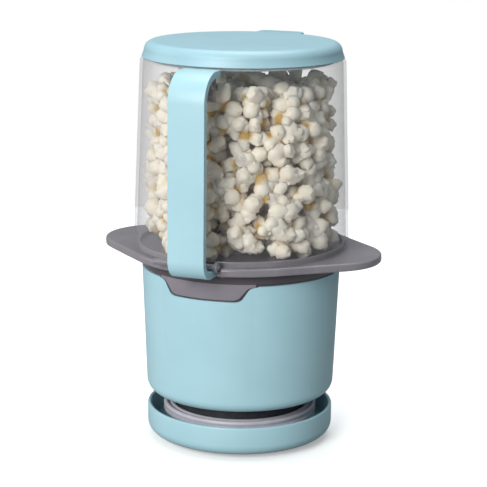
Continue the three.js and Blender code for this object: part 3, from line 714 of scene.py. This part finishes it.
black_nylon = plain_stock("glass_filled_nylon_matt", "#22242a", "#2e3138", 0.004, 0.62, dents=0.0001)
soft_rubber = plain_stock("nitrile_rubber_matt", "#262628", "#323234", 0.003, 0.85, dents=0.0001)
zinc_steel = plain_stock("zinc_plated_steel", "#9b9fa6", "#b9bdc2", 0.006, 0.30, 1.0, 0.00004)
drawn_aluminium = plain_stock("deep_drawn_aluminium", "#b9bcc0", "#cfd1d4", 0.010, 0.34, 1.0, 0.00005)
mica_sheet = plain_stock("pressed_mica_sheet", "#9a8766", "#c4b38f", 0.005, 0.55, dents=0.0002)
oxidised_wire = plain_stock("oxidised_nichrome_wire", "#4c4744", "#6f6a66", 0.002, 0.48, 1.0, 0.00003)
milky_silicone = plain_stock("milky_silicone_rubber", "#cfd5d6", "#dee3e4", 0.008, 0.55, dents=0.00005)
solder_mask = plain_stock("green_solder_mask", "#245a3e", "#2f6f4d", 0.003, 0.38, dents=0.00005)
grey_acetal = plain_stock("grey_acetal_rod", "#86808b", "#9a949f", 0.004, 0.32, dents=0.00002)

finishes = {
    "dark_plastic": black_nylon,
    "rubber": soft_rubber,
    "steel": zinc_steel,
    "aluminium": drawn_aluminium,
    "mica": mica_sheet,
    "heater_wire": oxidised_wire,
    "silicone": milky_silicone,
    "circuit_board": solder_mask,
    "brass": brass,
    "pin_grey": grey_acetal,
}
for entry in frame["record"]["subparts"]:
    kept = frame["nodes"][entry["node"]]
    if entry["material_slot"] in finishes:
        kept.data.materials.clear()
        kept.data.materials.append(finishes[entry["material_slot"]])

# ---------------------------------------------------------------------------
# Tray: a smoke-grey eared plate with a turned-down rim, a ring that centres
# the container, a spout over the chamber and two lugs that hold the hinge pin.
# ---------------------------------------------------------------------------
smoke_thin = smoke_plastic("smoke_grey_san_plate", "#87838a", "#7b777e", 0.95)
TRAY_ROUND = 0.079
EAR_ROUND = 0.038
TRAY_PLATE = 0.003
RIM_WALL = 0.0024
tray_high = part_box("tray")[1]
ear_reach = tray_high[0]
pin_low, pin_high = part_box("hinge_pin")
pin_y = (pin_low[1] + pin_high[1]) / 2
pin_z = (pin_low[2] + pin_high[2]) / 2
pin_radius = (pin_high[2] - pin_low[2]) / 2
PIN_RISE = 0.0016
RIM_DEPTH = 0.0055
tray_top = pin_z - PIN_RISE
rim_foot = tray_top - RIM_DEPTH


def tray_edge(angle, inset):
    """The distance from the axis to the tray's edge: round front and back, round ears, straight between."""
    big = TRAY_ROUND - inset
    small = EAR_ROUND - inset
    centre = ear_reach - EAR_ROUND
    join_angle = math.acos((big - small) / centre)
    folded = abs(math.atan2(math.sin(angle), abs(math.cos(angle))))
    touch = Vector((centre + small * math.cos(join_angle), small * math.sin(join_angle)))
    if folded < math.atan2(touch.y, touch.x):
        across = centre * math.cos(folded)
        return across + math.sqrt(across**2 - centre**2 + small**2)
    if folded < join_angle:
        return big / math.cos(join_angle - folded)
    return big


def tray_loop(name, profile):
    """A plate raised like a hoop, but with every hoop drawn out to the tray's outline."""
    corners = 288
    piece = raise_hoops(name, profile, closed=False, hoops=corners)
    for number, vertex in enumerate(piece.data.vertices):
        radius = math.hypot(vertex.co.x, vertex.co.y)
        if radius > TRAY_ROUND - 0.02:
            angle = math.atan2(vertex.co.y, vertex.co.x)
            reach = tray_edge(angle, TRAY_ROUND - radius)
            vertex.co.x = reach * math.cos(angle)
            vertex.co.y = reach * math.sin(angle)
    return piece


edge_bead = 0.0016
tray = tray_loop(
    "smoky_tray",
    [
        (0.058, tray_top - TRAY_PLATE),
        (TRAY_ROUND - RIM_WALL - 0.001, tray_top - TRAY_PLATE),
        (TRAY_ROUND - RIM_WALL, tray_top - TRAY_PLATE - 0.0008),
        *arc(TRAY_ROUND - RIM_WALL / 2, rim_foot + RIM_WALL / 2, RIM_WALL / 2, 180, 360, 8),
        *arc(TRAY_ROUND - edge_bead, tray_top - edge_bead, edge_bead, 0, 90, 6),
        (0.0765, tray_top),
        (0.058, tray_top),
    ],
)
face_out(tray)
container_low, container_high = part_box("container")
container_foot = container_low[2]
CONTAINER_FOOT_RADIUS = 0.0753
seat_radius = CONTAINER_FOOT_RADIUS - 0.0028
seat = raise_hoops(
    "seat_ring",
    [
        (seat_radius - 0.002, tray_top - 0.001),
        (seat_radius, tray_top - 0.001),
        *arc(seat_radius - 0.0007, tray_top + 0.0028, 0.0007, 0, 90, 3),
        *arc(seat_radius - 0.0013, tray_top + 0.0028, 0.0007, 90, 180, 3),
    ],
)
face_out(seat)
skirt_radius = collar_radius - COLLAR_WALL - 0.0003
skirt_foot = deck_low + COLLAR_DECK + 0.0003
skirt = raise_hoops(
    "skirt_ring",
    [
        (skirt_radius - 0.002, skirt_foot),
        (skirt_radius, skirt_foot),
        (skirt_radius, tray_top - TRAY_PLATE + 0.001),
        (skirt_radius - 0.002, tray_top - TRAY_PLATE + 0.001),
    ],
)
face_out(skirt)
SPOUT_RADIUS = 0.034
spout_top = tray_high[2]
spout_bore = raise_hoops(
    "spout_bore",
    [(SPOUT_RADIUS - 0.001, tray_top - 0.006), (SPOUT_RADIUS - 0.001, tray_top + 0.004)],
    closed=False,
)
face_out(spout_bore)
apply_modifier(tray, "BOOLEAN", object=spout_bore, operation="DIFFERENCE", solver="EXACT")
bpy.data.objects.remove(spout_bore)
spout = raise_hoops(
    "spout_ring",
    [
        (SPOUT_RADIUS - 0.002, skirt_foot),
        (SPOUT_RADIUS, skirt_foot),
        *arc(SPOUT_RADIUS - 0.001, spout_top - 0.001, 0.001, 0, 180, 8),
    ],
)
face_out(spout)
for part in (seat, skirt, spout):
    apply_modifier(tray, "BOOLEAN", object=part, operation="UNION", solver="EXACT")
    bpy.data.objects.remove(part)


def rod_across(name, radius, length, y, z, sides=48):
    """A round rod along X."""
    bpy.ops.object.select_all(action="DESELECT")
    bpy.ops.mesh.primitive_cylinder_add(
        vertices=sides,
        radius=radius,
        depth=length,
        location=(0, y, z),
        rotation=(0, math.pi / 2, 0),
    )
    rod = bpy.context.object
    rod.name = name
    bpy.ops.object.transform_apply(location=True, rotation=True, scale=True)
    return rod


def slab_across(name, outline, width):
    """A flat outline in the Y-Z plane, drawn from a circle's corners and extruded along X."""
    bpy.ops.object.select_all(action="DESELECT")
    bpy.ops.mesh.primitive_circle_add(vertices=len(outline), radius=0.03, fill_type="NGON")
    slab = bpy.context.object
    slab.name = name
    for vertex, (y, z) in zip(slab.data.vertices, outline):
        vertex.co = (-width / 2, y, z)
    edit(slab)
    bpy.ops.mesh.select_all(action="SELECT")
    bpy.ops.mesh.extrude_region_move(TRANSFORM_OT_translate={"value": (width, 0, 0)})
    bpy.ops.object.mode_set(mode="OBJECT")
    face_out(slab)
    return slab


HANDLE_WIDTH = 0.0255
HOOK_PLAY = 0.0006
STRAP_THICKNESS = 0.0045
LUG_THICKNESS = 0.0026
FOOT_SIDE_PLAY = 0.0006
FOOT_SWING_PLAY = 0.0013
LUG_WALL = 0.0017
foot_gap = HANDLE_WIDTH / 2 + FOOT_SIDE_PLAY
foot_drop = pin_radius + HOOK_PLAY + STRAP_THICKNESS
foot_swing = foot_drop + FOOT_SWING_PLAY
lug_radius = pin_radius + LUG_WALL
notch = add_box(
    "foot_notch",
    (2 * foot_gap, 0.03, tray_top - rim_foot + 0.002),
    (0, pin_y + foot_swing - 0.015, (tray_top + rim_foot) / 2),
)
swing = rod_across("foot_swing", foot_swing, 2 * foot_gap, pin_y, pin_z, 64)
for part in (notch, swing):
    apply_modifier(tray, "BOOLEAN", object=part, operation="DIFFERENCE", solver="EXACT")
    bpy.data.objects.remove(part)
for side in (-1, 1):
    shift = Matrix.Translation((side * (foot_gap + LUG_THICKNESS / 2), 0, 0))
    lug_arm = slab_across(
        "lug_arm",
        [
            (-CONTAINER_FOOT_RADIUS + 0.0033, rim_foot + 0.0006),
            (-CONTAINER_FOOT_RADIUS + 0.0033, tray_top - 0.0001),
            (pin_y + 0.0039, tray_top - 0.0001),
            (pin_y, pin_z),
            (pin_y - 0.43 * lug_radius, pin_z - 0.87 * lug_radius),
        ],
        LUG_THICKNESS,
    )
    lug_eye = rod_across("lug_eye", lug_radius, LUG_THICKNESS, pin_y, pin_z)
    apply_modifier(lug_eye, "BEVEL", width=0.0006, segments=3, limit_method="ANGLE")
    for part in (lug_arm, lug_eye):
        part.data.transform(shift)
        apply_modifier(tray, "BOOLEAN", object=part, operation="UNION", solver="EXACT")
        bpy.data.objects.remove(part)
pin_bore = rod_across("pin_bore", pin_radius + 0.0003, 0.06, pin_y, pin_z)
apply_modifier(tray, "BOOLEAN", object=pin_bore, operation="DIFFERENCE", solver="EXACT")
bpy.data.objects.remove(pin_bore)
smooth(tray)
fit(tray, smoke_thin, "tray", "smoky_plastic", "tray")

# The hinge pin is a turned acetal rod with a dished end on each side.
hinge_rod = rod_across("hinge_rod", pin_radius, 2 * pin_high[0], pin_y, pin_z, 64)
edit(hinge_rod)
bpy.ops.mesh.select_mode(type="FACE")
bpy.ops.object.mode_set(mode="OBJECT")
for face in hinge_rod.data.polygons:
    face.select = abs(face.normal.x) > 0.9
bpy.ops.object.mode_set(mode="EDIT")
bpy.ops.mesh.inset(thickness=0.0009, depth=0.0)
bpy.ops.mesh.inset(thickness=0.0004, depth=-0.0006)
bpy.ops.mesh.select_mode(type="VERT")
bpy.ops.object.mode_set(mode="OBJECT")
apply_modifier(hinge_rod, "BEVEL", width=0.00025, segments=2, limit_method="ANGLE")
smooth(hinge_rod)
fit(hinge_rod, grey_acetal, "tray", "pin_grey", "hinge_pin")

# ---------------------------------------------------------------------------
# Container: a clear copolyester jar, open below, with an inturned shoulder
# round the mouth. Injection moulded, 2 mm thick, highly polished.
# ---------------------------------------------------------------------------


def clear_copolyester(name, dark, light, face_alpha, edge_alpha):
    """Clear copolyester: nearly invisible face on, greyer and stronger where it is seen edge on."""
    paint, tree, shader, where = new_paint(name)
    haze = add_node(tree, "ShaderNodeTexNoise", {"Vector": where, "Scale": 90, "Detail": 5})
    tone = two_tones(tree, haze.outputs["Fac"], dark, light)
    grazing = add_node(tree, "ShaderNodeLayerWeight", {"Blend": 0.35})
    thickness = spread(tree, grazing.outputs["Facing"], face_alpha, edge_alpha)
    gloss = spread(tree, haze.outputs["Fac"], 0.03, 0.09)
    tree.links.new(tone.outputs["Color"], shader.inputs["Base Color"])
    tree.links.new(thickness.outputs["Result"], shader.inputs["Alpha"])
    tree.links.new(gloss.outputs["Result"], shader.inputs["Roughness"])
    shader.inputs["IOR"].default_value = 1.57
    return paint


clear_jar = clear_copolyester("clear_copolyester_polished", "#a19ea4", "#b5b2b8", 0.05, 0.34)
CONTAINER_WALL = 0.002
CONTAINER_TOP_RADIUS = 0.0707
MOUTH_RADIUS = 0.0645
SHOULDER = 0.0025
container_top = container_high[2]
container = raise_hoops(
    "clear_container",
    [
        (CONTAINER_FOOT_RADIUS - CONTAINER_WALL, container_foot),
        *arc(CONTAINER_FOOT_RADIUS - 0.0005, container_foot + 0.0005, 0.0005, 270, 360, 3),
        *arc(
            CONTAINER_TOP_RADIUS - SHOULDER, container_top - SHOULDER, SHOULDER, 0, 90, 8
        ),
        *arc(MOUTH_RADIUS + 0.0005, container_top - 0.0005, 0.0005, 90, 180, 3),
        (MOUTH_RADIUS, container_top - CONTAINER_WALL),
        (CONTAINER_TOP_RADIUS - SHOULDER, container_top - CONTAINER_WALL),
        *arc(
            CONTAINER_TOP_RADIUS - SHOULDER,
            container_top - SHOULDER,
            SHOULDER - CONTAINER_WALL,
            80,
            0,
            3,
        ),
    ],
    hoops=200,
)
face_out(container)
smooth(container)
fit(container, clear_jar, "container", "clear_plastic", "container")

# ---------------------------------------------------------------------------
# Handle: an aqua strap that hooks round the hinge pin and bends in under the
# lid, lined with a smoky clear core whose gusset is screwed to the container.
# ---------------------------------------------------------------------------
CORE_GAP = 0.0003
STRAP_BEND = 0.020
FOOT_ROUND = 0.013
HOOK_LIP = 0.0023
LIP_ROUND = 0.0022
handle_low, handle_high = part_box("handle")
strap_outer = handle_low[1]
arm_top = handle_high[2]
arm_foot = arm_top - STRAP_THICKNESS
bend_y = strap_outer + STRAP_BEND
bend_z = arm_top - STRAP_BEND
foot_bottom = handle_low[2]
lip_front = pin_y + pin_radius + HOOK_PLAY
lip_back = lip_front + HOOK_LIP
lip_top = container_foot - HOOK_PLAY
handle = slab_across(
    "aqua_handle",
    [
        *arc(lip_back - LIP_ROUND, foot_bottom + LIP_ROUND, LIP_ROUND, 270, 360, 8),
        *arc(lip_back - HOOK_LIP / 2, lip_top - HOOK_LIP / 2, HOOK_LIP / 2, 0, 180, 8),
        *arc(pin_y, pin_z, pin_radius + HOOK_PLAY, -25, -90, 6),
        *arc(
            strap_outer + FOOT_ROUND,
            foot_bottom + FOOT_ROUND,
            FOOT_ROUND - STRAP_THICKNESS,
            270,
            180,
            14,
        ),
        *arc(bend_y, bend_z, STRAP_BEND - STRAP_THICKNESS, 180, 90, 16),
        (-CONTAINER_TOP_RADIUS - 0.0007, arm_foot),
        (-CONTAINER_TOP_RADIUS - 0.0007, arm_top),
        *arc(bend_y, bend_z, STRAP_BEND, 90, 180, 18),
        *arc(strap_outer + FOOT_ROUND, foot_bottom + FOOT_ROUND, FOOT_ROUND, 180, 270, 18),
    ],
    HANDLE_WIDTH,
)
apply_modifier(handle, "BEVEL", width=0.0009, segments=3, limit_method="ANGLE", angle_limit=0.9)
face_out(handle)
smooth(handle, 35)
fit(handle, aqua, "container", "aqua_plastic", "handle")

smoky_clear = clear_copolyester("smoky_copolyester_polished", "#807b86", "#98939e", 0.45, 0.85)
CORE_THICKNESS = 0.002
CORE_WIDTH = 0.020
GUSSET_DROP = 0.016
core_low, core_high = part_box("handle_core")
core_outer = core_low[1]
core_bend = STRAP_BEND - STRAP_THICKNESS - CORE_GAP
core_wall = core_high[1]
core_top = core_high[2]
core = slab_across(
    "smoky_handle_core",
    [
        (core_outer, core_low[2]),
        *arc(bend_y, bend_z, core_bend, 180, 90, 16),
        (core_wall, core_top),
        (core_wall, core_top - GUSSET_DROP),
        (core_wall - 0.003, core_top - GUSSET_DROP),
        *arc(bend_y, bend_z, core_bend - CORE_THICKNESS, 107, 180, 12),
        (core_outer + CORE_THICKNESS, core_low[2]),
    ],
    CORE_WIDTH,
)
apply_modifier(core, "BEVEL", width=0.0004, segments=2, limit_method="ANGLE", angle_limit=0.6)
face_out(core)
smooth(core)
fit(core, smoky_clear, "container", "clear_plastic", "handle_core")

# ---------------------------------------------------------------------------
# Lid: an aqua ABS cap with a soft top edge and a flat finger tab at the back.
# A short plug with a silicone lip seal sits in the container's mouth.
# ---------------------------------------------------------------------------
LID_EDGE = 0.0065
LID_TAPER = 0.0015
LID_WALL = 0.0025
PLUG_OUTER = MOUTH_RADIUS - 0.0021
PLUG_WALL = 0.002
lid_low, lid_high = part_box("lid")
lid_radius = lid_high[0]
lid_top = lid_high[2]
lid_foot = container_top + 0.0003
plug_foot = lid_low[2]
lid = raise_hoops(
    "aqua_lid",
    [
        (0.004, lid_top - LID_WALL),
        (PLUG_OUTER - PLUG_WALL, lid_top - LID_WALL),
        (PLUG_OUTER - PLUG_WALL, plug_foot),
        (PLUG_OUTER, plug_foot),
        (PLUG_OUTER, lid_foot),
        *arc(lid_radius - 0.0005, lid_foot + 0.0005, 0.0005, 270, 360, 3),
        *arc(lid_radius - LID_TAPER - LID_EDGE, lid_top - LID_EDGE, LID_EDGE, 0, 90, 14),
        (0.004, lid_top),
    ],
    closed=False,
    hoops=200,
)
face_out(lid)
TAB_WIDTH = 0.034
TAB_THICKNESS = 0.004
tab_reach = lid_high[1]
tab_middle = lid_top - 0.0006 - TAB_THICKNESS / 2
tab = add_box(
    "finger_tab",
    (TAB_WIDTH, tab_reach - lid_radius + 0.008, TAB_THICKNESS),
    (0, (tab_reach + lid_radius - 0.008) / 2, tab_middle),
)
edit(tab)
bpy.ops.mesh.select_mode(type="EDGE")
bpy.ops.object.mode_set(mode="OBJECT")
for edge in tab.data.edges:
    ends = [tab.data.vertices[number].co for number in edge.vertices]
    edge.select = all(end.y > lid_radius for end in ends) and abs(ends[0].z - ends[1].z) > 0.001
bpy.ops.object.mode_set(mode="EDIT")
bpy.ops.mesh.bevel(offset=0.006, segments=8)
bpy.ops.mesh.select_mode(type="VERT")
bpy.ops.object.mode_set(mode="OBJECT")
apply_modifier(tab, "BEVEL", width=0.0009, segments=3, limit_method="ANGLE")
face_out(tab)
apply_modifier(lid, "BOOLEAN", object=tab, operation="UNION", solver="EXACT")
bpy.data.objects.remove(tab)
smooth(lid)
# Painted shade: the lid is the same aqua ABS as the shell and handle, darkened here so that its lit top and
# side read dimmer.
aqua_painted_shade = aqua_abs("aqua_abs_lid_painted_shade", "#95bac6", "#9abfcb")
fit(lid, aqua_painted_shade, "lid", "aqua_plastic", "lid")

seal_low, seal_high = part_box("lid_seal")
seal_middle = (seal_low[2] + seal_high[2]) / 2
SEAL_HALF = 0.0009
seal = raise_hoops(
    "silicone_lip_seal",
    [
        (PLUG_OUTER + 0.0003, seal_middle - SEAL_HALF),
        (PLUG_OUTER + 0.0010, seal_middle - SEAL_HALF),
        (seal_high[0], seal_middle - 0.0002),
        (seal_high[0], seal_middle + 0.0002),
        (PLUG_OUTER + 0.0010, seal_middle + SEAL_HALF),
        (PLUG_OUTER + 0.0003, seal_middle + SEAL_HALF),
    ],
)
face_out(seal)
smooth(seal)
fit(seal, milky_silicone, "lid", "silicone", "lid_seal")

# ---------------------------------------------------------------------------
# Popped corn: a batch that fills the container. It is what the machine makes
# and not part of it, so it is stage dressing that goes with the container.
# ---------------------------------------------------------------------------
CORN_LAYERS = 9
LAYER_RISE = 0.0120
corn_luck = random.Random(12)


def any_way(luck):
    """A random direction."""
    return Vector((luck.gauss(0, 1), luck.gauss(0, 1), luck.gauss(0, 1))).normalized()


def popped_kernel(luck):
    """One burst kernel: a ball pushed out to the envelope of big lobes that carry small ones."""
    bpy.ops.object.select_all(action="DESELECT")
    bpy.ops.mesh.primitive_ico_sphere_add(subdivisions=5, radius=1)
    kernel = bpy.context.object
    lobes = []
    for _ in range(luck.randint(5, 7)):
        big = any_way(luck) * luck.uniform(0.30, 0.58)
        big_size = luck.uniform(0.26, 0.40)
        lobes.append((big, big_size))
        for _ in range(6):
            small = big + (any_way(luck) + big.normalized() * 0.6).normalized() * big_size * 0.82
            lobes.append((small, luck.uniform(0.10, 0.19)))
    shift = any_way(luck) * 10
    for vertex in kernel.data.vertices:
        way = vertex.co.normalized()
        reach = 0.34
        for centre, size in lobes:
            along = centre.dot(way)
            inside = along**2 - centre.length_squared + size**2
            if inside > 0:
                reach = max(reach, along + math.sqrt(inside))
        crumple = abs(noise.noise(way * 4.5 + shift)) + 0.5 * abs(noise.noise(way * 9.5 + shift))
        vertex.co = way * (reach - 0.13 * max(0.0, 0.30 - crumple))
    apply_modifier(kernel, "DECIMATE", ratio=0.075)
    hull = any_way(luck)
    depth = kernel.data.color_attributes.new("husk", "FLOAT_COLOR", "POINT")
    for number, vertex in enumerate(kernel.data.vertices):
        reach = vertex.co.length
        tan = smooth_step((0.62 - reach) / 0.22) * smooth_step(hull.dot(vertex.co) / reach + 0.55)
        depth.data[number].color = (tan, tan, tan, 1)
    return kernel


def corn_flake():
    """Popped starch: matt warm white foam, with tan hull where the lobes meet."""
    paint, tree, shader, where = new_paint("popped_starch")
    husk = add_node(tree, "ShaderNodeVertexColor", layer_name="husk")
    patch = add_node(tree, "ShaderNodeTexNoise", {"Vector": where, "Scale": 60, "Detail": 3})
    some = add_node(
        tree,
        "ShaderNodeMath",
        {0: husk.outputs["Color"], 1: patch.outputs["Fac"]},
        operation="MULTIPLY",
    )
    tone = two_tones(tree, some.outputs[0], "#f5ecdc", "#c2a052", 0.04, 0.5)
    foam = add_node(tree, "ShaderNodeTexNoise", {"Vector": where, "Scale": 900, "Detail": 4})
    add_bump(tree, shader, foam.outputs["Fac"], 0.35, 0.0006)
    tree.links.new(tone.outputs["Color"], shader.inputs["Base Color"])
    shader.inputs["Roughness"].default_value = 0.75
    shader.inputs["Specular IOR Level"].default_value = 0.25
    shader.inputs["Subsurface Weight"].default_value = 0.45
    shader.inputs["Subsurface Radius"].default_value = (0.006, 0.005, 0.004)
    shader.inputs["Subsurface Scale"].default_value = 1.0
    return paint


kernels = [popped_kernel(corn_luck) for _ in range(8)]
corn_points, corn_faces, corn_husks = [], [], []


def drop_kernel(place, size):
    """Adds a turned copy of one of the kernels to the batch."""
    source = corn_luck.choice(kernels).data
    spin = Matrix.Rotation(corn_luck.uniform(0, 6.28), 3, "Z")
    spin = spin @ Matrix.Rotation(corn_luck.uniform(0, 3.14), 3, "X")
    first = len(corn_points)
    corn_points.extend(spin @ vertex.co * size + place for vertex in source.vertices)
    corn_faces.extend([first + corner for corner in face.vertices] for face in source.polygons)
    corn_husks.extend(item.color[0] for item in source.color_attributes["husk"].data)


for layer in range(CORN_LAYERS):
    height = tray_top + 0.0115 + layer * LAYER_RISE
    share = (height - container_foot) / (container_top - container_foot)
    wall_radius = 0.0722 + (0.0676 - 0.0722) * share
    for depth_number, inset in enumerate((0.0, 0.019, 0.036)):
        if layer < CORN_LAYERS - 3 and depth_number == 2:
            continue
        ring_radius = wall_radius - 0.0125 - inset
        count = int(2 * math.pi * ring_radius / 0.0165)
        for number in range(count):
            angle = 2 * math.pi * (number + 0.5 * (layer % 2)) / count + corn_luck.uniform(-0.12, 0.12)
            size = corn_luck.uniform(0.0120, 0.0160)
            radius = min(
                ring_radius + corn_luck.uniform(-0.0045, 0.002), wall_radius - size * 0.92
            )
            heap = 0.003 * math.cos(angle - 2.2) * layer / CORN_LAYERS
            drop_kernel(
                Vector(
                    (
                        radius * math.cos(angle),
                        radius * math.sin(angle),
                        height + heap + corn_luck.uniform(-0.0035, 0.0035),
                    )
                ),
                size,
            )
for kernel in kernels:
    bpy.data.objects.remove(kernel)
corn_mesh = bpy.data.meshes.new("popped_corn")
corn_mesh.from_pydata(corn_points, [], corn_faces)
husk_layer = corn_mesh.color_attributes.new("husk", "FLOAT_COLOR", "POINT")
husk_layer.data.foreach_set(
    "color", [channel for husk in corn_husks for channel in (husk, husk, husk, 1.0)]
)
popped_corn = bpy.data.objects.new("popped_corn", corn_mesh)
scene.collection.objects.link(popped_corn)
corn_mesh.materials.append(corn_flake())
smooth(popped_corn, 50)
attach(popped_corn, "container")

bpy.ops.object.select_all(action="DESELECT")
